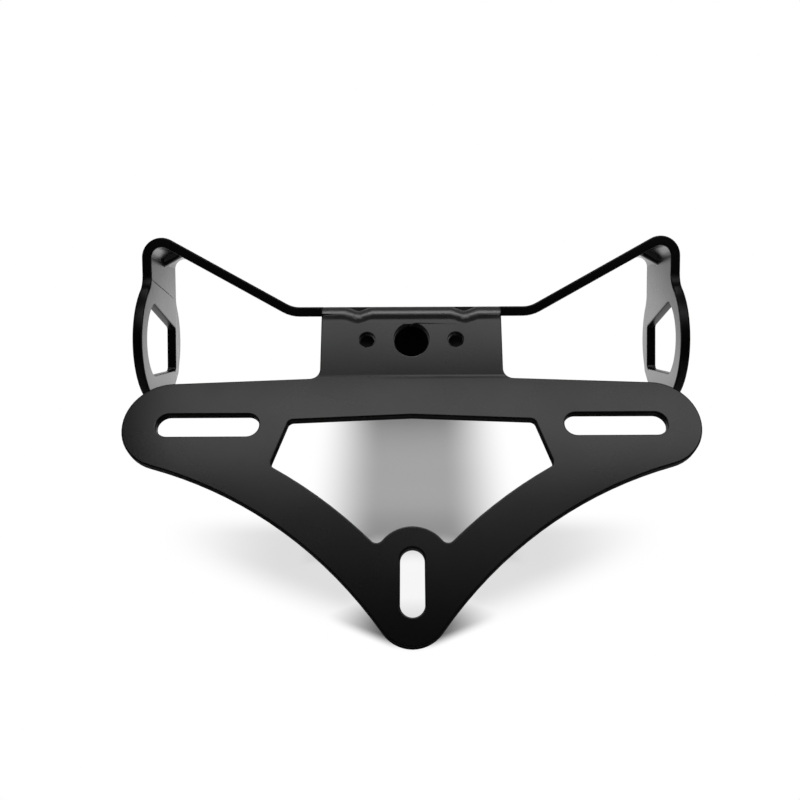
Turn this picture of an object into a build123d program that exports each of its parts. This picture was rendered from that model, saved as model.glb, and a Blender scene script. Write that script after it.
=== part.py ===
"""Tail tidy: one folded steel sheet that carries a licence plate and two indicators behind a motorbike tail.

Millimetres, +Z up, +X to the right, +Y towards the front of the motorbike. The part stands on a floor at Z = 0, on
the licence-plate panel's tip and the flange's far edge. X = 0 and Y = 0 are the middle of its width and depth.
"""
import os
from math import atan, cos, degrees, hypot, radians, sin, sqrt, tan

from build123d import *

# sheet
SHEET = 3.0

# flange: a spine that bolts up under the tail, with a cross strip that carries the wings
SPINE_W = 56.2
SPINE_LEN = 92.0
SPINE_CORNER_R = 10.0
STRIP_DEPTH = 26.0
STRIP_INNER_R = 9.0
BOLT_D = 6.5
BOLT_SQUARE = 38.0
BOLT_MID_Y = 52.0

# neck: hangs from the flange's rear fold and leans out towards the licence plate
NECK_BEND_R = 5.0
NECK_TILT = 22.5
NECK_LEN = 22.8
CABLE_HOLE_D = 10.6
LAMP_HOLE_D = 4.5
LAMP_HOLE_SPAN = 27.5
NECK_HOLES_UP = 11.8

# licence-plate panel: all sizes lie in the panel, down from the neck's lower bend
PLATE_TILT = 35.0
PLATE_BEND_R = 4.0
CORNER_R = 3.2
ARM_SLOPE = 2.3
END_X = 72.0
END_DOWN = 16.2
END_R = 13.9
TIP_DOWN = 71.05
TIP_R = 9.85
FLANK_R = 128.4
RIB_W = 13.65
WINDOW_PEAK = 13.4
WINDOW_TOP_X = 36.5
WINDOW_TOP_DOWN = 15.0
WINDOW_SIDE_LEAN = 17.5
WINDOW_CORNER_R = 1.8
WINDOW_VERTEX_R = 1.6
BOSS_R = 10.6
BOSS_DOWN = 58.6
BOSS_FILLET_R = 2.0
SLOT_W = 7.2
SLOT_LEN = 30.5
SLOT_X = 60.5
SLOT_DOWN = 16.5
TIP_SLOT_W = 6.7
TIP_SLOT_LEN = 18.8
TIP_SLOT_DOWN = 63.7

# wings and indicator ears
WING_FOLD_X = 37.5
WING_ANGLE = 29.4
WING_TOE = 8.5
WING_FOLD_R = 8.0
EAR_X = 81.4
EAR_SPLAY = 0.9
EAR_BEND_R = 3.3
EAR_DISC_R = 20.4
EAR_DISC_Y = 9.9
EAR_DISC_Z = -9.4
EAR_NECK_R = 6.0
EAR_HOLE_R = 13.0
EAR_HOLE_Y = 7.9
EAR_HOLE_Z = -9.0
EAR_HOLE_LOW_Z = -20.0
EAR_HOLE_BACK_Y = 24.3
EAR_HOLE_DROP_Z = -5.3
EAR_HOLE_TOP_Y = 3.5
EAR_HOLE_TOP_Z = 2.4
EAR_HOLE_CORNER_R = 1.4

# pressed darts that stiffen the folds
NECK_DART_X = 16.8
NECK_DART_W = 12.0
NECK_DART_DEPTH = 1.35
NECK_DART_BACK = 8.0
NECK_DART_LEAN = 30.0
NECK_DART_WRAP = 58.0
NECK_DART_BRIM = 0.1
EAR_DART_Y = 15.0
EAR_DART_LEG = 8.3
EAR_DART_W = 8.5
EAR_DART_RIDGE_R = 1.6
EAR_DART_GROOVE_R = 0.6

HALF = SHEET / 2
OVERLAP = 2 * SHEET
NEAR = 0.01


def tilt_dir(tilt):
    """Unit vector down a panel that leans by tilt degrees from the vertical, its foot towards -Y."""
    return Vector(0, -sin(radians(tilt)), -cos(radians(tilt)))


def tilt_normal(tilt):
    """Unit normal of that panel, towards -Y and up."""
    return Vector(0, -cos(radians(tilt)), sin(radians(tilt)))


def yz(point):
    """A point's place on the side view, for drawing on the YZ plane."""
    return (point.Y, point.Z)


def prism(face, direction, length):
    """Extrude a face both ways along a direction."""
    return extrude(face, amount=length, dir=direction, both=True)


def towards(centre, point, radius):
    """Point at a radius from a centre on the way to another point."""
    share = radius / hypot(point[0] - centre[0], point[1] - centre[1])
    return (centre[0] + (point[0] - centre[0]) * share, centre[1] + (point[1] - centre[1]) * share)


def dart(corner, leg_a, leg_b, leg, width, ridge_r, groove_r):
    """Rib and groove of a dart pressed into a fold from outside.

    The corner is the inner virtual corner of the fold and the legs are unit vectors along the inner faces. The
    dart is a V with a rounded ridge, straight from one leg to the other. The groove is the same V, one sheet
    thickness further out.
    """
    half = radians(leg_a.get_angle(leg_b) / 2)
    inward = (leg_a + leg_b).normalized()
    ridge = (leg_b - leg_a).normalized()
    rib_h = leg * cos(half)
    outer = corner - inward * (SHEET / sin(half))
    groove_h = rib_h - SHEET + SHEET / sin(half)
    groove_w = width * groove_h / rib_h
    bodies = []
    for base, tall, wide, radius in ((corner, rib_h, width, ridge_r), (outer, groove_h, groove_w, groove_r)):
        plane = Plane(origin=base, x_dir=inward, z_dir=ridge)
        vee = Sketch() + Polygon((0, -wide / 2), (tall, 0), (0, wide / 2), align=None)
        vee = fillet(vee.vertices().sort_by(Axis.X)[-1], radius)
        wedge = prism(plane * vee, ridge, leg * 2)
        wall = Face(Wire.make_polygon([base, base + leg_a * leg * 2, base + leg_b * leg * 2], close=True))
        bodies.append(wedge & prism(wall, leg_a.cross(leg_b).normalized(), width * 2))
    return bodies


def fold_profile(plane, leg_a, leg_b, turn, inner_r):
    """Section of a folded strip on a plane whose origin is the fold's inner virtual corner.

    Leg A lies along local +x with its inner face on y = 0 and its material below. Leg B is leg A turned by the
    given angle about the corner, with its material outside the angle.
    """
    half = radians(turn) / 2
    run = inner_r / tan(half)
    reach = inner_r / sin(half)
    outer_r = inner_r + SHEET
    b_dir = (cos(2 * half), sin(2 * half))
    foot_a = (run, 0)
    foot_b = (run * b_dir[0], run * b_dir[1])
    inner_mid = (cos(half) * (reach - inner_r), sin(half) * (reach - inner_r))
    outer_mid = (cos(half) * (reach - outer_r), sin(half) * (reach - outer_r))
    out_a = (run, -SHEET)
    out_b = towards((run, inner_r), foot_b, outer_r)
    end_b = (b_dir[0] * leg_b, b_dir[1] * leg_b)
    end_b_out = (end_b[0] + out_b[0] - foot_b[0], end_b[1] + out_b[1] - foot_b[1])
    edges = [
        Edge.make_line((leg_a, 0), foot_a),
        Edge.make_three_point_arc(foot_a, inner_mid, foot_b),
        Edge.make_line(foot_b, end_b),
        Edge.make_line(end_b, end_b_out),
        Edge.make_line(end_b_out, out_b),
        Edge.make_three_point_arc(out_b, outer_mid, out_a),
        Edge.make_line(out_a, (leg_a, -SHEET)),
        Edge.make_line((leg_a, -SHEET), (leg_a, 0)),
    ]
    return plane * Face(Wire(edges))


# neck and licence-plate panel: a side profile, with the flange flat and its middle thickness on Z = 0
neck_half = SPINE_W / 2
neck_dir = tilt_dir(NECK_TILT)
neck_n = tilt_normal(NECK_TILT)
plate_dir = tilt_dir(PLATE_TILT)
plate_n = tilt_normal(PLATE_TILT)
neck_out_r = NECK_BEND_R + SHEET
neck_run = neck_out_r * tan(radians(90 - NECK_TILT) / 2)
bend_c = Vector(0, neck_run, HALF - neck_out_r)
bend_mid = (neck_n + Vector(0, 0, 1)).normalized()
neck_top = bend_c + neck_n * neck_out_r
neck_in = bend_c + neck_n * NECK_BEND_R
kink = neck_top + neck_dir * (NECK_LEN - neck_run)
kink_run = PLATE_BEND_R * tan(radians(PLATE_TILT - NECK_TILT) / 2)
kink_c = kink - neck_dir * kink_run + neck_n * PLATE_BEND_R
kink_mid = tilt_normal((NECK_TILT + PLATE_TILT) / 2)
kink_a = kink - neck_dir * kink_run
kink_b = kink + plate_dir * kink_run
kink_a_back = kink_a - neck_n * SHEET
kink_b_back = kink_b - plate_n * SHEET
plate_end = kink + plate_dir * (TIP_DOWN + TIP_R + OVERLAP)
plate_end_back = plate_end - plate_n * SHEET
stub_end = neck_run + STRIP_DEPTH / 2
profile = Wire([
    Edge.make_line((stub_end, HALF), (neck_run, HALF)),
    Edge.make_three_point_arc((neck_run, HALF), yz(bend_c + bend_mid * neck_out_r), yz(neck_top)),
    Edge.make_line(yz(neck_top), yz(kink_a)),
    Edge.make_three_point_arc(yz(kink_a), yz(kink_c - kink_mid * PLATE_BEND_R), yz(kink_b)),
    Edge.make_line(yz(kink_b), yz(plate_end)),
    Edge.make_line(yz(plate_end), yz(plate_end_back)),
    Edge.make_line(yz(plate_end_back), yz(kink_b_back)),
    Edge.make_three_point_arc(yz(kink_b_back), yz(kink_c - kink_mid * (PLATE_BEND_R + SHEET)), yz(kink_a_back)),
    Edge.make_line(yz(kink_a_back), yz(neck_in)),
    Edge.make_three_point_arc(yz(neck_in), yz(bend_c + bend_mid * NECK_BEND_R), (neck_run, -HALF)),
    Edge.make_line((neck_run, -HALF), (stub_end, -HALF)),
    Edge.make_line((stub_end, -HALF), (stub_end, HALF)),
])
fold = prism(Plane.YZ * Face(profile), Vector(1, 0, 0), END_X + END_R + OVERLAP)

# outline of the panel, x across and y up the panel: each flank is an arc that touches the end's and the tip's circle
end_c = (END_X, -END_DOWN)
tip_c = (0, -TIP_DOWN)
gap = hypot(END_X, TIP_DOWN - END_DOWN)
ux, uy = -END_X / gap, (END_DOWN - TIP_DOWN) / gap
along = ((FLANK_R + END_R) ** 2 - (FLANK_R + TIP_R) ** 2 + gap ** 2) / (2 * gap)
away = sqrt((FLANK_R + END_R) ** 2 - along ** 2)
flank_c = (END_X + ux * along - uy * away, -END_DOWN + uy * along + ux * away)
flank_end = towards(flank_c, end_c, FLANK_R)
flank_tip = towards(flank_c, tip_c, FLANK_R)
flank_mid = towards(flank_c, ((flank_end[0] + flank_tip[0]) / 2, (flank_end[1] + flank_tip[1]) / 2), FLANK_R)
tip_mid = towards(tip_c, (flank_tip[0], flank_tip[1] - TIP_R), TIP_R)
slope = radians(ARM_SLOPE)
arm_end = (END_X + sin(slope) * END_R, -END_DOWN + cos(slope) * END_R)
arm_in = (neck_half, arm_end[1] + (arm_end[0] - neck_half) * tan(slope))
neck_up = NECK_LEN + neck_out_r + STRIP_DEPTH / 2


def outline(sign):
    """Right (sign 1) or left half of the panel outline as edges from the top middle to the tip."""
    def at(point):
        return (point[0] * sign, point[1])
    return [
        Edge.make_line((0, neck_up), at((neck_half, neck_up))),
        Edge.make_line(at((neck_half, neck_up)), at(arm_in)),
        Edge.make_line(at(arm_in), at(arm_end)),
        Edge.make_three_point_arc(at(arm_end), at((END_X + END_R, -END_DOWN)), at(flank_end)),
        Edge.make_three_point_arc(at(flank_end), at(flank_mid), at(flank_tip)),
        Edge.make_three_point_arc(at(flank_tip), at(tip_mid), (0, -TIP_DOWN - TIP_R)),
    ]


panel = Sketch() + Face(Wire(outline(1) + outline(-1)))
crotch = panel.vertices().filter_by(lambda v: abs(abs(v.X) - neck_half) < NEAR and v.Y < neck_up / 2)
panel = fillet(crotch, CORNER_R)

# window: a shallow roof above, leaning sides, and flanks that keep an even rib around it
low_x = WINDOW_TOP_X + tan(radians(WINDOW_SIDE_LEAN)) * (TIP_DOWN - WINDOW_TOP_DOWN)
window = Sketch() + Polygon(
    (0, -WINDOW_PEAK), (WINDOW_TOP_X, -WINDOW_TOP_DOWN), (low_x, -TIP_DOWN),
    (-low_x, -TIP_DOWN), (-WINDOW_TOP_X, -WINDOW_TOP_DOWN), align=None)
for sx in (-1, 1):
    window -= Pos(sx * flank_c[0], flank_c[1]) * Circle(FLANK_R + RIB_W)
window -= Pos(0, -BOSS_DOWN) * Circle(BOSS_R)
window = Sketch() + window.faces().sort_by(Axis.Y)[-1]
roof = window.vertices().filter_by(lambda v: abs(abs(v.X) - WINDOW_TOP_X) < NEAR)
window = fillet(roof, WINDOW_CORNER_R)
across_x = window.vertices().sort_by(Axis.X)
window = fillet([across_x[0], across_x[-1]], WINDOW_VERTEX_R)
boss_ends = window.vertices().filter_by(lambda v: abs(hypot(v.X, v.Y + BOSS_DOWN) - BOSS_R) < NEAR)
window = fillet(boss_ends, BOSS_FILLET_R)

panel -= window
for sx in (-1, 1):
    panel -= Pos(sx * SLOT_X, -SLOT_DOWN) * SlotOverall(SLOT_LEN, SLOT_W)
panel -= Pos(0, -TIP_SLOT_DOWN) * SlotOverall(TIP_SLOT_LEN, TIP_SLOT_W, rotation=90)
plate_plane = Plane(origin=kink, x_dir=(1, 0, 0), z_dir=plate_n)
plate = fold & prism(plate_plane * panel, plate_n, neck_up)

# the neck's three holes
neck_plane = Plane(origin=kink, x_dir=(1, 0, 0), z_dir=neck_n)
for x, bore_d in ((0, CABLE_HOLE_D), (-LAMP_HOLE_SPAN / 2, LAMP_HOLE_D), (LAMP_HOLE_SPAN / 2, LAMP_HOLE_D)):
    plate -= prism(neck_plane * Pos(x, NECK_HOLES_UP) * Circle(bore_d / 2), neck_n, OVERLAP)

# flange
spine = Pos(0, (neck_run + SPINE_LEN) / 2) * Rectangle(SPINE_W, SPINE_LEN - neck_run)
strip = Pos(0, STRIP_DEPTH / 2) * Rectangle(2 * (WING_FOLD_X + STRIP_DEPTH), STRIP_DEPTH)
strip -= Pos(0, neck_run / 2) * Rectangle(SPINE_W, neck_run)
flange = Sketch() + spine + strip
flange = fillet(flange.vertices().sort_by(Axis.Y)[-2:], SPINE_CORNER_R)
crook = flange.vertices().filter_by(lambda v: hypot(abs(v.X) - neck_half, v.Y - STRIP_DEPTH) < NEAR)
flange = fillet(crook, STRIP_INNER_R)
for sx in (-1, 1):
    for sy in (-1, 1):
        flange -= Pos(sx * BOLT_SQUARE / 2, BOLT_MID_Y + sy * BOLT_SQUARE / 2) * Circle(BOLT_D / 2)
flange_body = extrude(Pos(0, 0, -HALF) * flange, amount=SHEET)

# right wing: folds up from the strip along a line that toes in
toe = radians(WING_TOE)
rise = radians(WING_ANGLE)
fold_dir = Vector(sin(toe), cos(toe), 0)
across = Vector(cos(toe), -sin(toe), 0)
wing_n = Vector(0, 0, cos(rise)) - across * sin(rise)
wing_corner = Vector(WING_FOLD_X, 0, HALF) - across * (HALF * tan(rise / 2))
wing_section = Plane(origin=wing_corner, x_dir=-across, z_dir=fold_dir)
splay = radians(EAR_SPLAY)
ear_n = Vector(cos(splay), 0, sin(splay))
ear_mid = EAR_X + HALF
climb = tan(rise) * cos(toe)
ear_fold_z = climb * (ear_mid - WING_FOLD_X + tan(splay) * EAR_DISC_Z) / (1 + climb * tan(splay))
ear_fold_x = WING_FOLD_X + ear_fold_z / climb
half_run = (ear_fold_x - WING_FOLD_X) / (cos(toe) * cos(rise)) / 2
wing_bend_run = (WING_FOLD_R + SHEET) * tan(rise / 2)
wing_bend = fold_profile(wing_section, wing_bend_run + SHEET, half_run, 180 - WING_ANGLE, WING_FOLD_R)
wing = prism(wing_bend, fold_dir, STRIP_DEPTH * 2)

# the ear's fold line is where the wing's middle plane meets the ear's middle plane
ear_fold_dir = wing_n.cross(ear_n).normalized()
ear_down = ear_n.cross(ear_fold_dir).normalized() * -1
wing_in = ear_fold_dir.cross(wing_n).normalized() * -1
ear_turn = wing_in.get_angle(ear_down)
ear_half = radians(ear_turn) / 2
ear_corner = Vector(ear_fold_x, 0, ear_fold_z) + (wing_in + ear_down).normalized() * (HALF / sin(ear_half))
ear_section = Plane(origin=ear_corner, x_dir=wing_in, z_dir=wing_in.cross(ear_down).normalized())
ear_leg = EAR_BEND_R / tan(ear_half) + OVERLAP
ear_bend = fold_profile(ear_section, half_run + OVERLAP, ear_leg, ear_turn, EAR_BEND_R)
wing += prism(ear_bend, ear_section.z_dir, STRIP_DEPTH * 2)
wing = wing & Pos(ear_mid, STRIP_DEPTH / 2, 0) * Box(2 * ear_mid, STRIP_DEPTH, 4 * ear_mid)

# indicator ear on its own plane: local x along +Y, local y up the ear
ear_plane = Plane(origin=(EAR_X + EAR_DISC_Z * sin(splay), 0, 0), x_dir=(0, 1, 0), z_dir=ear_n)
ear_top = ear_corner.Z - ear_leg + SHEET
ear = Sketch() + Pos(STRIP_DEPTH / 2, (ear_top + EAR_DISC_Z) / 2) * Rectangle(STRIP_DEPTH, ear_top - EAR_DISC_Z)
ear += Pos(EAR_DISC_Y, EAR_DISC_Z) * Circle(EAR_DISC_R)
waist = ear.vertices().filter_by(lambda v: EAR_DISC_Z + NEAR < v.Y < ear_top - NEAR)
ear = fillet(waist, EAR_NECK_R)
fall = (EAR_HOLE_DROP_Z - EAR_HOLE_TOP_Z) / (EAR_HOLE_BACK_Y - EAR_HOLE_TOP_Y)
far_y = -2 * EAR_HOLE_R
ear_hole = Sketch() + Pos(EAR_HOLE_Y, EAR_HOLE_Z) * Circle(EAR_HOLE_R)
ear_hole += Polygon(
    (EAR_HOLE_Y, EAR_HOLE_LOW_Z), (EAR_HOLE_BACK_Y, EAR_HOLE_LOW_Z),
    (EAR_HOLE_BACK_Y, EAR_HOLE_DROP_Z), (EAR_HOLE_TOP_Y, EAR_HOLE_TOP_Z), align=None)
ear_hole = ear_hole & Polygon(
    (far_y, EAR_HOLE_LOW_Z), (EAR_HOLE_BACK_Y, EAR_HOLE_LOW_Z), (EAR_HOLE_BACK_Y, EAR_HOLE_DROP_Z),
    (far_y, EAR_HOLE_TOP_Z + fall * (far_y - EAR_HOLE_TOP_Y)), align=None)
ear_hole = fillet(ear_hole.vertices(), EAR_HOLE_CORNER_R)
right = wing + extrude(ear_plane * (ear - ear_hole), amount=SHEET)
left = right.mirror(Plane.YZ)

# the strip's flat ends where each wing's bend begins
bend_start = wing_corner - across * wing_bend_run
for sx in (-1, 1):
    cut = Plane(origin=(sx * bend_start.X, bend_start.Y, 0), z_dir=(-sx * across.X, -across.Y, 0))
    flange_body = split(flange_body, bisect_by=cut, keep=Keep.TOP)
body = (plate + flange_body + right + left).clean()

# pressed darts: two in the neck's fold, one in each ear's fold
lean = tan(radians(NECK_DART_LEAN))
wrap = radians(NECK_DART_WRAP)
brim = neck_dir * -NECK_DART_BRIM
press = Edge.make_spline(
    [Vector(-NECK_DART_W / 2, 0, 0) + brim, neck_dir * NECK_DART_DEPTH, Vector(NECK_DART_W / 2, 0, 0) + brim],
    tangents=[Vector(1, 0, 0), Vector(1, 0, 0)])


def around(radius, angle):
    """Point of the neck's fold at a radius, at an angle from the flange's normal."""
    return (bend_c.Y - radius * sin(angle), bend_c.Z + radius * cos(angle))


wrap_end = around(neck_out_r, wrap)
wrap_foot = (wrap_end[0] - cos(wrap) * OVERLAP, wrap_end[1] - sin(wrap) * OVERLAP)
press_top = HALF + OVERLAP
groove_edges = [
    Edge.make_line((NECK_DART_BACK + lean * OVERLAP, press_top), (NECK_DART_BACK, HALF)),
    Edge.make_line((NECK_DART_BACK, HALF), around(neck_out_r, 0)),
    Edge.make_three_point_arc(around(neck_out_r, 0), around(neck_out_r, wrap / 2), wrap_end),
    Edge.make_line(wrap_end, wrap_foot),
    Edge.make_line(wrap_foot, (wrap_foot[0], press_top)),
    Edge.make_line((wrap_foot[0], press_top), (NECK_DART_BACK + lean * OVERLAP, press_top)),
]
rib_back = NECK_DART_BACK + SHEET
neck_mid_r = NECK_BEND_R + HALF
rib_edges = [
    Edge.make_line((rib_back, 0), around(neck_mid_r, 0)),
    Edge.make_three_point_arc(around(neck_mid_r, 0), around(neck_mid_r, wrap / 2), around(neck_mid_r, wrap)),
    Edge.make_line(around(neck_mid_r, wrap), around(NECK_BEND_R, wrap)),
    Edge.make_three_point_arc(around(NECK_BEND_R, wrap), around(NECK_BEND_R, wrap / 2), around(NECK_BEND_R, 0)),
    Edge.make_line(around(NECK_BEND_R, 0), (rib_back - lean * HALF, -HALF)),
    Edge.make_line((rib_back - lean * HALF, -HALF), (rib_back, 0)),
]
neck_bodies = []
for edges in (rib_edges, groove_edges):
    section = Plane.YZ * Face(Wire(edges))
    neck_bodies.append(sweep(section.moved(Location(press @ 0)), path=press, normal=(1, 0, 0)))
neck_rib, neck_groove = neck_bodies
ear_rib, ear_groove = dart(
    ear_corner + ear_fold_dir * (EAR_DART_Y / ear_fold_dir.Y), wing_in, ear_down,
    EAR_DART_LEG, EAR_DART_W, EAR_DART_RIDGE_R, EAR_DART_GROOVE_R)
for sx in (-1, 1):
    body = body + Pos(sx * NECK_DART_X, 0, 0) * neck_rib - Pos(sx * NECK_DART_X, 0, 0) * neck_groove
body = body + ear_rib - ear_groove
body = body + ear_rib.mirror(Plane.YZ) - ear_groove.mirror(Plane.YZ)
body = body.clean().solids()[0]

# set down as it stands on a floor, on the panel's tip and the flange's far edge
tip_foot = kink + plate_dir * (TIP_DOWN + TIP_R) - plate_n * SHEET
far_foot = Vector(0, SPINE_LEN, -HALF)
stand = degrees(atan((tip_foot.Z - far_foot.Z) / (tip_foot.Y - far_foot.Y)))
body = Rot(-stand, 0, 0) * body
box = body.bounding_box()
body = Pos(0, -(box.min.Y + box.max.Y) / 2, -box.min.Z) * body

os.makedirs("parts", exist_ok=True)
export_step(body, "parts/bracket.step")
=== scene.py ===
"""Satin black tail tidy on a pale studio floor, seen square on from behind the motorbike."""
from itertools import count
from math import radians

import bmesh
import bpy
import numpy as np
from mathutils import Matrix, Vector
from mathutils.bvhtree import BVHTree


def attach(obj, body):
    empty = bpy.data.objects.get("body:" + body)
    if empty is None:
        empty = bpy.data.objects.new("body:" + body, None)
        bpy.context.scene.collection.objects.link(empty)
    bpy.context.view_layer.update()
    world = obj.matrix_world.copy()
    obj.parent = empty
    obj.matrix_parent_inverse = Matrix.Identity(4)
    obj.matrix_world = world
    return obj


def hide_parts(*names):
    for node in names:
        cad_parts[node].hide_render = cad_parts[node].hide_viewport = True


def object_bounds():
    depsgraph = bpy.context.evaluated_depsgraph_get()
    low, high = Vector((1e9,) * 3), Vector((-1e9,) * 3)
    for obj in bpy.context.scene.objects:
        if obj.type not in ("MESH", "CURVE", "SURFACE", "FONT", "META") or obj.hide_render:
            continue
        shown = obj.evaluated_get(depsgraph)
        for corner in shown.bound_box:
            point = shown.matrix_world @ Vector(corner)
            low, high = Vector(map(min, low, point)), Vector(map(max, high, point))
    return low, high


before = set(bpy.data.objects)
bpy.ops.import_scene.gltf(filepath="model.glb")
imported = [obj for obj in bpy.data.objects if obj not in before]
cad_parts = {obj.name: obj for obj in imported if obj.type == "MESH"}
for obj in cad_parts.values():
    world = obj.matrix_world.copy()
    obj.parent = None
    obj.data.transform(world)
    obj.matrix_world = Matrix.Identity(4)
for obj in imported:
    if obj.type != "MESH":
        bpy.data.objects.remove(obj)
cad_low, cad_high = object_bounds()
scene = bpy.context.scene
scene.view_settings.view_transform = "Standard"

# The camera stands behind the motorbike's tail and looks down on the part, square on to its width.
PHOTO_PX = 800.0
FOCAL_PX = 795.0
SENSOR_MM = 36.0
EYE = Vector((0.0, -0.21, 0.17664))
PITCH_DOWN = 37.1
ROLL = -0.25
OFF_CENTRE_PX = 11.7

# The coat rounds the cut edges of the sheet and lies rougher on them.
EDGE_ROUND = 0.0005
SHEET = 0.003
SHEEN_SPREAD = 0.03

# Joining the CAD mesh: points and slivers closer than these are one, and flats and folds part at these angles.
SAME_POINT = 1e-6
SLIVER = 2e-6
FLAT_DEG = 0.2
FOLD_DEG = 30.0

# Floor under the flange: half its width and its far end, each as the start and end of a soft border.
FLANGE_HALF = (0.024, 0.036)
FLANGE_END = (0.076, 0.088)
PAPER = (0.93, 0.93, 0.93, 1.0)
# Paper colour under the flange, painted dark as a painted shadow.
PAPER_PAINTED_SHADE = (0.08, 0.08, 0.08, 1.0)
ROOM_LIGHT = 0.012


def place_camera():
    """Camera at EYE, turned from straight down by 90 degrees less the pitch, then rolled about its own axis."""
    data = bpy.data.cameras.new("photo_camera")
    data.sensor_width = SENSOR_MM
    data.lens = FOCAL_PX / PHOTO_PX * SENSOR_MM
    data.shift_x = -OFF_CENTRE_PX / PHOTO_PX
    data.clip_start = 0.01
    data.clip_end = 50.0
    camera = bpy.data.objects.new("photo_camera", data)
    turn = Matrix.Rotation(radians(90.0 - PITCH_DOWN), 4, "X") @ Matrix.Rotation(radians(ROLL), 4, "Z")
    camera.matrix_world = Matrix.Translation(EYE) @ turn
    scene.collection.objects.link(camera)
    scene.camera = camera


def node(tree, kind, place, **values):
    """A shader node of one kind at a place, with its plain properties and input values set."""
    made = tree.nodes.new(kind)
    made.location = place
    for key, value in values.items():
        if hasattr(made, key):
            setattr(made, key, value)
        else:
            made.inputs[key.replace("_", " ")].default_value = value
    return made


def powder_coat(name, rough, gloss, clear):
    """Satin black powder coat: a clear skin, fine orange peel, uneven sheen and a few pale dust specks.

    The peel is noise with lumps about 1 mm across under finer grain. The sheen is a broad noise on the
    roughness. The specks are the centres of a sparse cell pattern, thinned by the cells' own random values.
    """
    coat = bpy.data.materials.new(name)
    coat.use_nodes = True
    tree = coat.node_tree
    shader = tree.nodes["Principled BSDF"]
    shader.inputs["IOR"].default_value = 1.55
    shader.inputs["Specular IOR Level"].default_value = gloss
    shader.inputs["Coat Weight"].default_value = clear
    place = node(tree, "ShaderNodeTexCoord", (-1300, 0))

    broad = node(tree, "ShaderNodeTexNoise", (-1000, 250), Scale=38.0, Detail=3.0, Roughness=0.55)
    tree.links.new(place.outputs["Object"], broad.inputs["Vector"])
    sheen = node(tree, "ShaderNodeMapRange", (-700, 250))
    sheen.inputs["From Min"].default_value = 0.3
    sheen.inputs["From Max"].default_value = 0.7
    sheen.inputs["To Min"].default_value = rough - SHEEN_SPREAD
    sheen.inputs["To Max"].default_value = rough + SHEEN_SPREAD
    tree.links.new(broad.outputs["Fac"], sheen.inputs["Value"])
    tree.links.new(sheen.outputs["Result"], shader.inputs["Roughness"])
    tree.links.new(sheen.outputs["Result"], shader.inputs["Coat Roughness"])

    specks = node(tree, "ShaderNodeTexVoronoi", (-1000, -50), Scale=210.0)
    tree.links.new(place.outputs["Object"], specks.inputs["Vector"])
    dot = node(tree, "ShaderNodeMapRange", (-760, -50))
    dot.inputs["From Min"].default_value = 0.03
    dot.inputs["From Max"].default_value = 0.012
    tree.links.new(specks.outputs["Distance"], dot.inputs["Value"])
    split = node(tree, "ShaderNodeSeparateColor", (-900, -320))
    tree.links.new(specks.outputs["Color"], split.inputs["Color"])
    thin = node(tree, "ShaderNodeMath", (-760, -320), operation="GREATER_THAN")
    thin.inputs[1].default_value = 0.93
    tree.links.new(split.outputs["Red"], thin.inputs[0])
    dust = node(tree, "ShaderNodeMath", (-560, -150), operation="MULTIPLY")
    tree.links.new(dot.outputs["Result"], dust.inputs[0])
    tree.links.new(thin.outputs["Value"], dust.inputs[1])

    tone = node(tree, "ShaderNodeMix", (-420, 60), data_type="RGBA")
    tone.inputs[6].default_value = (0.0046, 0.0046, 0.0047, 1.0)
    tone.inputs[7].default_value = (0.0062, 0.0062, 0.0062, 1.0)
    tree.links.new(broad.outputs["Fac"], tone.inputs[0])
    speckled = node(tree, "ShaderNodeMix", (-220, 0), data_type="RGBA")
    speckled.inputs[7].default_value = (0.16, 0.155, 0.145, 1.0)
    tree.links.new(dust.outputs["Value"], speckled.inputs[0])
    tree.links.new(tone.outputs[2], speckled.inputs[6])
    tree.links.new(speckled.outputs[2], shader.inputs["Base Color"])

    peel = node(tree, "ShaderNodeTexNoise", (-1000, -560), Scale=900.0, Detail=2.0, Roughness=0.5)
    grain = node(tree, "ShaderNodeTexNoise", (-1000, -800), Scale=3200.0, Detail=1.0)
    for texture in (peel, grain):
        tree.links.new(place.outputs["Object"], texture.inputs["Vector"])
    lumps = node(tree, "ShaderNodeBump", (-420, -560), Strength=0.10, Distance=0.00006)
    fine = node(tree, "ShaderNodeBump", (-220, -560), Strength=0.08, Distance=0.00002)
    tree.links.new(peel.outputs["Fac"], lumps.inputs["Height"])
    tree.links.new(grain.outputs["Fac"], fine.inputs["Height"])
    tree.links.new(lumps.outputs["Normal"], fine.inputs["Normal"])
    tree.links.new(fine.outputs["Normal"], shader.inputs["Normal"])
    tree.links.new(fine.outputs["Normal"], shader.inputs["Coat Normal"])
    return coat


def mark_cut_edges(mesh):
    """Give the second material to the faces of the sheet's cut edges.

    Straight in from a rolled face the sheet is one thickness deep. From a cut edge it is deeper.
    """
    solid = BVHTree.FromPolygons([v.co for v in mesh.vertices], [p.vertices for p in mesh.polygons])
    for face in mesh.polygons:
        tri = [mesh.vertices[i].co for i in face.vertices[:3]]
        inside = (tri[0] + tri[1] + tri[2]) / 3.0 - face.normal * SHEET * 0.02
        depth = solid.ray_cast(inside, -face.normal)[3]
        if depth is not None and depth > SHEET * 1.4:
            face.material_index = 1


def in_neck_fold(point):
    """Whether a point lies on the neck fold's pressed pockets or its tapering side walls, which stay sharp."""
    return 0.009 < abs(point.x) < 0.0282 and 0.0032 < point.y < 0.02 and point.z > 0.036


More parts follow.
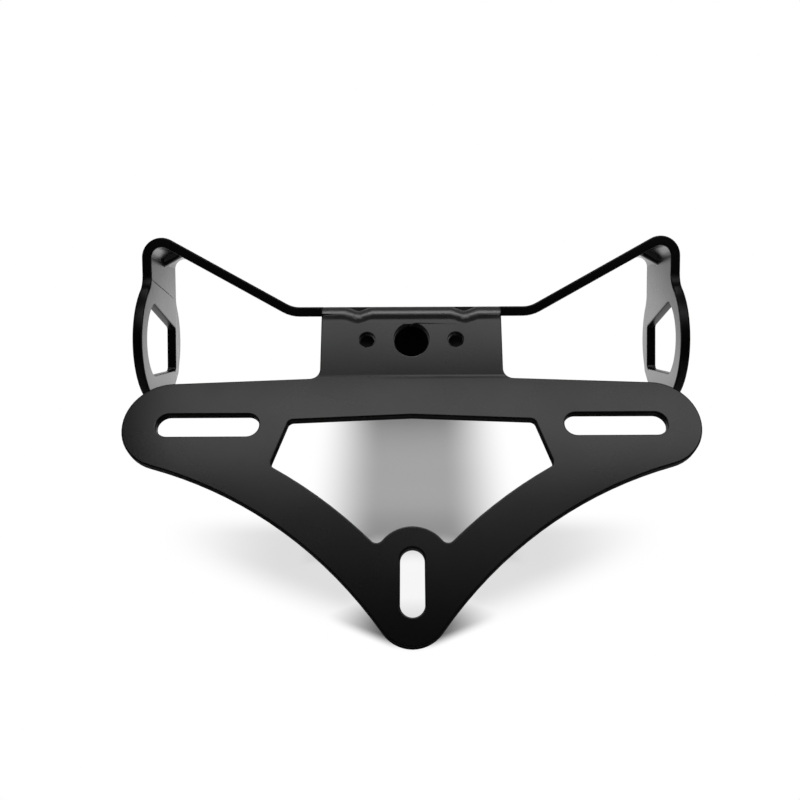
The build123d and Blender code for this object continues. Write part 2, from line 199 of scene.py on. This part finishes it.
def coated_bracket(coat, edge_coat):
    """The folded sheet's own surface with its facets joined into flats, and its cut edges rounded by the coat."""
    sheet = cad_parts["bracket"]
    mesh = sheet.data.copy()
    mesh.name = "bracket_skin"
    mesh.attributes.remove(mesh.attributes["custom_normal"])
    mesh.materials.clear()
    mesh.materials.append(coat)
    mesh.materials.append(edge_coat)
    joined = bmesh.new()
    joined.from_mesh(mesh)
    bmesh.ops.remove_doubles(joined, verts=joined.verts, dist=SAME_POINT)
    bmesh.ops.dissolve_degenerate(joined, edges=joined.edges, dist=SLIVER)
    joined.to_mesh(mesh)
    mark_cut_edges(mesh)
    joined.clear()
    joined.from_mesh(mesh)
    bmesh.ops.dissolve_limit(joined, angle_limit=radians(FLAT_DEG), verts=joined.verts, edges=joined.edges,
                             delimit={"MATERIAL"})
    rounded = joined.edges.layers.float.new("bevel_weight_edge")
    for face in joined.faces:
        face.smooth = True
    for edge in joined.edges:
        if edge.calc_face_angle() > radians(FOLD_DEG):
            sharp = all(in_neck_fold(v.co) for v in edge.verts)
            if edge.link_faces[0].material_index != edge.link_faces[1].material_index and not sharp:
                edge[rounded] = 1.0
            else:
                edge.smooth = False
    joined.to_mesh(mesh)
    joined.free()
    skin = bpy.data.objects.new("bracket_skin", mesh)
    scene.collection.objects.link(skin)
    rounding = skin.modifiers.new("cut_edges", "BEVEL")
    rounding.width = EDGE_ROUND
    rounding.segments = 2
    rounding.limit_method = "WEIGHT"
    rounding.use_clamp_overlap = False
    rounding.miter_outer = "MITER_ARC"
    flats = skin.modifiers.new("flats_stay_flat", "WEIGHTED_NORMAL")
    flats.mode = "FACE_AREA_WITH_ANGLE"
    flats.weight = 80
    flats.keep_sharp = True
    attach(skin, "root")
    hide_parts("bracket")


def studio_paper():
    """White paper with a painted soft shadow near the part, and plain white further off.

    A share of plain white is mixed over the lit paper. For the camera it is whole away from the part, less along
    the panel's lower flanks and beside its tip, a third under the window and none under the flange. Where it is
    less, the dim lit paper shows through as a painted shadow, shaped by the ramps and not cast by the lamps. For
    mirrored rays it is whole behind the part to the left and right, and a tenth far off. Under the flange the
    paper's colour is painted dark, a painted shadow.
    Along is Y, side is the distance from X = 0, and slant = along - 0.47 side has lines that fall away from the tip.
    """
    paper = bpy.data.materials.new("studio_paper")
    paper.use_nodes = True
    tree = paper.node_tree
    tree.nodes.clear()
    ramp_rows, join_rows = count(), count()

    def ramp(source, low, high, start=0.0, end=1.0):
        made = node(tree, "ShaderNodeMapRange", (-500, -160 * next(ramp_rows)), interpolation_type="SMOOTHSTEP")
        made.inputs["From Min"].default_value = low
        made.inputs["From Max"].default_value = high
        made.inputs["To Min"].default_value = start
        made.inputs["To Max"].default_value = end
        tree.links.new(source, made.inputs["Value"])
        return made.outputs["Result"]

    def join(kind, first, second):
        made = node(tree, "ShaderNodeMath", (-300, -160 * next(join_rows)), operation=kind)
        tree.links.new(first, made.inputs[0])
        tree.links.new(second, made.inputs[1])
        return made.outputs["Value"]

    def product(first, *others):
        for other in others:
            first = join("MULTIPLY", first, other)
        return first

    where = node(tree, "ShaderNodeTexCoord", (-1100, 0)).outputs["Object"]
    length = node(tree, "ShaderNodeVectorMath", (-900, 200), operation="LENGTH")
    tree.links.new(where, length.inputs[0])
    away = length.outputs["Value"]
    split = node(tree, "ShaderNodeSeparateXYZ", (-900, -100))
    tree.links.new(where, split.inputs[0])
    along = split.outputs["Y"]
    size = node(tree, "ShaderNodeMath", (-700, -50), operation="ABSOLUTE")
    tree.links.new(split.outputs["X"], size.inputs[0])
    side = size.outputs["Value"]
    ray = node(tree, "ShaderNodeLightPath", (-900, 600))

    slant = node(tree, "ShaderNodeMath", (-700, -2150), operation="MULTIPLY_ADD")
    tree.links.new(side, slant.inputs[0])
    slant.inputs[1].default_value = -0.47
    tree.links.new(along, slant.inputs[2])
    slant = slant.outputs["Value"]

    # Painted shadow on the floor: the camera's white share is cut back under the window, along the flanks and beside
    # the tip.
    window = join("MINIMUM", ramp(along, 0.04, -0.012, 0.0, 0.36), ramp(along, -0.045, -0.018, 0.18, 0.36))
    clear = join("MAXIMUM", ramp(side, 0.01, 0.034), ramp(along, -0.042, -0.056))
    open_floor = node(tree, "ShaderNodeMix", (-100, 0), B=1.0)
    tree.links.new(clear, open_floor.inputs[0])
    tree.links.new(window, open_floor.inputs[2])
    flange = ramp(along, 0.03, 0.05)
    beside = node(tree, "ShaderNodeMix", (-100, -150))
    tree.links.new(flange, beside.inputs[0])
    tree.links.new(open_floor.outputs[0], beside.inputs[2])
    tree.links.new(ramp(side, *FLANGE_HALF), beside.inputs[3])
    near = join("MAXIMUM", beside.outputs[0], ramp(along, *FLANGE_END))

    # Painted shadow along the panel's lower flanks and hugging its tip, shaped by these ramps.
    flanks = product(
        ramp(along, -0.034, -0.044, 0.0, 0.29), ramp(along, -0.090, -0.066), ramp(side, 0.078, 0.036),
        ramp(side, 0.006, 0.02, 0.3, 1.0), ramp(slant, -0.048, -0.058), ramp(slant, -0.088, -0.074))
    tip = product(
        ramp(along, -0.062, -0.077, 0.0, 0.9), ramp(along, -0.0852, -0.0832), ramp(side, 0.027, 0.006),
        ramp(side, 0.003, 0.0065, 0.35, 1.0), ramp(slant, -0.0868, -0.083))
    near = join("SUBTRACT", near, join("MAXIMUM", flanks, tip))
    near = join("MULTIPLY", near, ray.outputs["Is Camera Ray"])

    rear = product(ramp(along, 0.0, 0.04), ramp(side, 0.035, 0.055), ramp(along, 0.14, 0.2, 1.0, 0.0))
    bounce = join("MAXIMUM", ray.outputs["Is Glossy Ray"], ray.outputs["Is Transmission Ray"])
    mirrored = join("MULTIPLY", join("MAXIMUM", rear, ramp(away, 0.14, 0.45, 0.0, 0.1)), bounce)
    share = join("MAXIMUM", near, mirrored)

    # Painted shade: the paper's own colour is painted dark under the flange.
    painted_shade_under_flange = product(ramp(side, *FLANGE_HALF, 1.0, 0.0), ramp(along, *FLANGE_END, 1.0, 0.0), flange)
    tone = node(tree, "ShaderNodeMix", (100, -1000), data_type="RGBA")
    tree.links.new(painted_shade_under_flange, tone.inputs[0])
    tone.inputs[6].default_value = PAPER
    tone.inputs[7].default_value = PAPER_PAINTED_SHADE
    lit = node(tree, "ShaderNodeBsdfDiffuse", (500, -150))
    tree.links.new(tone.outputs[2], lit.inputs["Color"])
    glow = node(tree, "ShaderNodeEmission", (500, 0), Strength=1.0)
    mix = node(tree, "ShaderNodeMixShader", (700, 0))
    tree.links.new(share, mix.inputs[0])
    tree.links.new(lit.outputs["BSDF"], mix.inputs[1])
    tree.links.new(glow.outputs["Emission"], mix.inputs[2])
    out = node(tree, "ShaderNodeOutputMaterial", (900, 0))
    tree.links.new(mix.outputs["Shader"], out.inputs["Surface"])
    return paper


def studio_sweep():
    """Floor that sweeps up into a back wall.

    Along the profile the floor runs straight from the front to the bend, follows a quarter circle and climbs
    straight up. The profile is carried across the width.
    """
    front, bend, radius, top, half = -1.0, 1.2, 0.5, 1.8, 2.4
    run = np.linspace(front, bend, 24)
    arc = np.linspace(0.0, np.pi / 2, 24)[1:]
    climb = np.linspace(radius, top, 12)[1:]
    y = np.concatenate([run, bend + radius * np.sin(arc), np.full(climb.size, bend + radius)])
    z = np.concatenate([np.zeros(run.size), radius * (1.0 - np.cos(arc)), climb]) + cad_low.z
    x = np.linspace(-half, half, 3)
    points = np.stack([np.repeat(x, y.size), np.tile(y, x.size), np.tile(z, x.size)], axis=1)
    low = (np.arange(x.size - 1)[:, None] * y.size + np.arange(y.size - 1)[None, :]).ravel()
    faces = np.stack([low, low + y.size, low + y.size + 1, low + 1], axis=1)
    mesh = bpy.data.meshes.new("studio_sweep")
    mesh.from_pydata(points.tolist(), [], faces.tolist())
    mesh.shade_smooth()
    mesh.materials.append(studio_paper())
    sweep = bpy.data.objects.new("studio_sweep", mesh)
    scene.collection.objects.link(sweep)


def soft_lamp(name, place, aim, size, radiance):
    """Rectangular soft box at a place, turned to aim at a point, as bright all over as the radiance says."""
    data = bpy.data.lights.new(name, "AREA")
    data.shape = "RECTANGLE"
    data.size, data.size_y = size
    data.energy = radiance * np.pi * size[0] * size[1]
    lamp = bpy.data.objects.new(name, data)
    lamp.location = place
    lamp.rotation_euler = (Vector(aim) - Vector(place)).to_track_quat("-Z", "Y").to_euler()
    scene.collection.objects.link(lamp)


def studio_light():
    """A strip box close above the panel's upper half, a dim one above its tip, a wide one behind and a dim room."""
    soft_lamp("near_box", (0.022, -0.018, 0.155), (0.022, -0.018, 0.0), (0.285, 0.048), 0.95)
    soft_lamp("low_box", (0.0, -0.066, 0.155), (0.0, -0.066, 0.0), (0.16, 0.046), 0.12)
    soft_lamp("rear_box", (0.0, 0.36, 0.42), (0.0, 0.05, 0.0), (0.45, 0.12), 2.2)
    world = bpy.data.worlds.new("room")
    scene.world = world
    world.use_nodes = True
    room = world.node_tree.nodes["Background"]
    room.inputs["Color"].default_value = (1.0, 1.0, 1.0, 1.0)
    room.inputs["Strength"].default_value = ROOM_LIGHT


place_camera()
coated_bracket(powder_coat("satin_powder_coat", 0.28, 0.5, 1.0), powder_coat("cut_edge_coat", 0.35, 0.3, 0.0))
studio_sweep()
studio_light()
